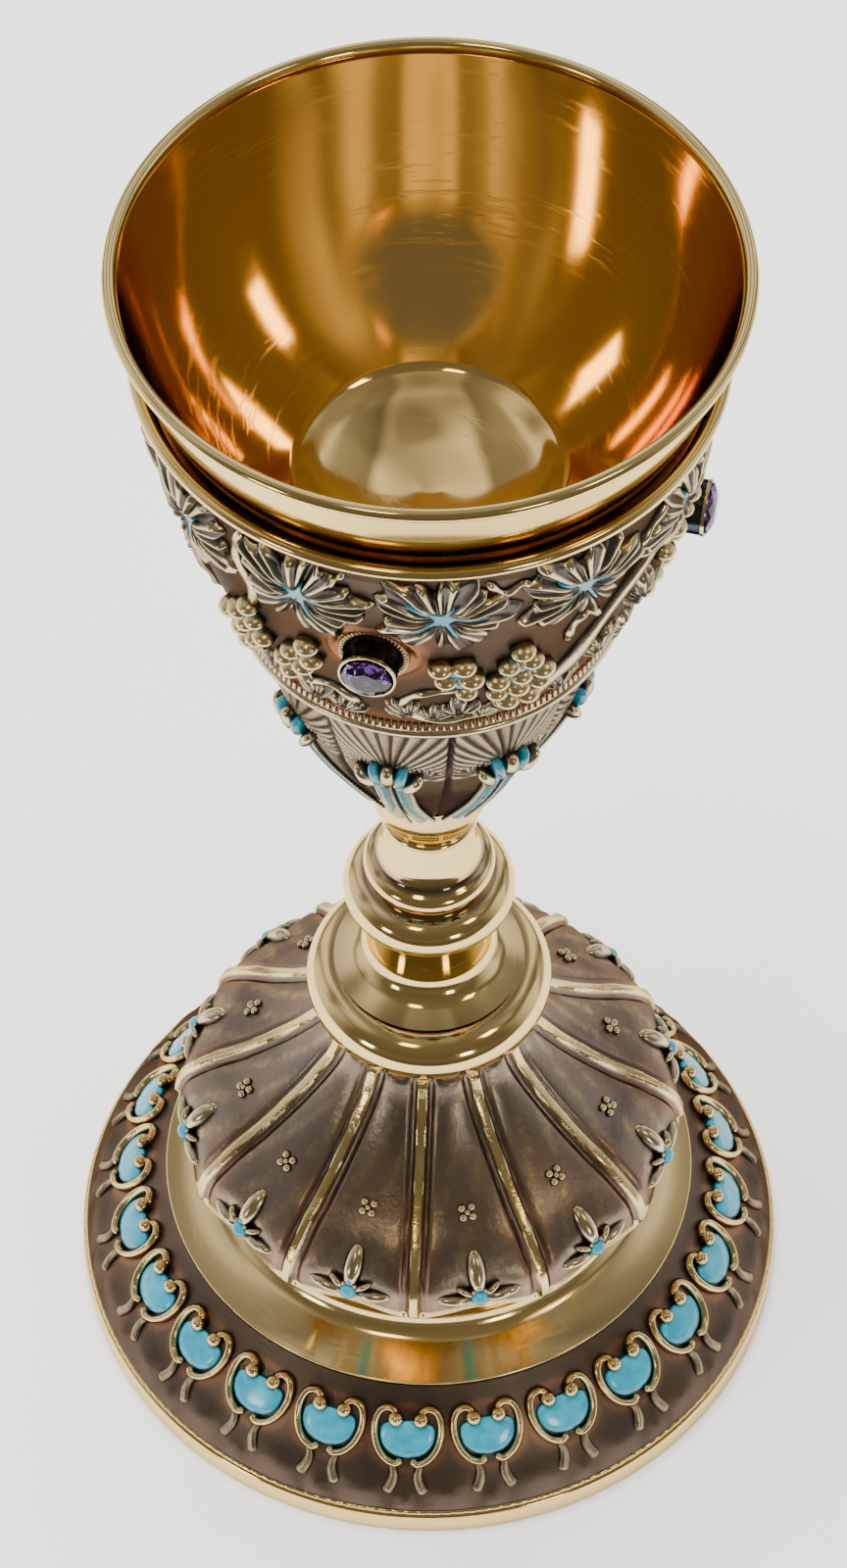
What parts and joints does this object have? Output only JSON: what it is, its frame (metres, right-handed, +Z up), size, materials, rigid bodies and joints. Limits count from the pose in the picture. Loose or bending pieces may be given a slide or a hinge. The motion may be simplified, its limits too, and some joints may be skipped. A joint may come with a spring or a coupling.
{
  "type": "standing cup",
  "caption": "Silver standing cup with gilt bowl, vine-relief calyx set with round amethysts, turned stem, lobed dome foot and enamelled horseshoe border.",
  "frame": {"origin": "centre of the foot ring's underside, on the surface the cup stands on", "axes": "+Z up along the turned axis; -Y is the front, towards the viewer"},
  "size_m": [0.12, 0.12, 0.2425],
  "materials": {
    "polished_gilt": "polished pale gilding on silver",
    "bowl_gilt": "warm gilding, satin polish inside the bowl",
    "oxidised_silver": "oxidised silver relief, highlights rubbed to pale gilt",
    "dark_silver": "dark polished silver collet with a gilt rope ring",
    "amethyst": "deep violet faceted stone",
    "enamel": "glossy turquoise enamel"
  },
  "bodies": {
    "root": {"bowl": "bowl_gilt", "calyx": "oxidised_silver", "fan_cup": "oxidised_silver", "stem": "polished_gilt", "foot_dome": "oxidised_silver", "foot_drum": "polished_gilt", "foot_flange": "oxidised_silver", "foot_ring": "polished_gilt", "collet_1": "dark_silver", "amethyst_1": "amethyst", "collet_2": "dark_silver", "amethyst_2": "amethyst", "collet_3": "dark_silver", "amethyst_3": "amethyst", "collet_4": "dark_silver", "amethyst_4": "amethyst"}
  },
  "joints": []
}
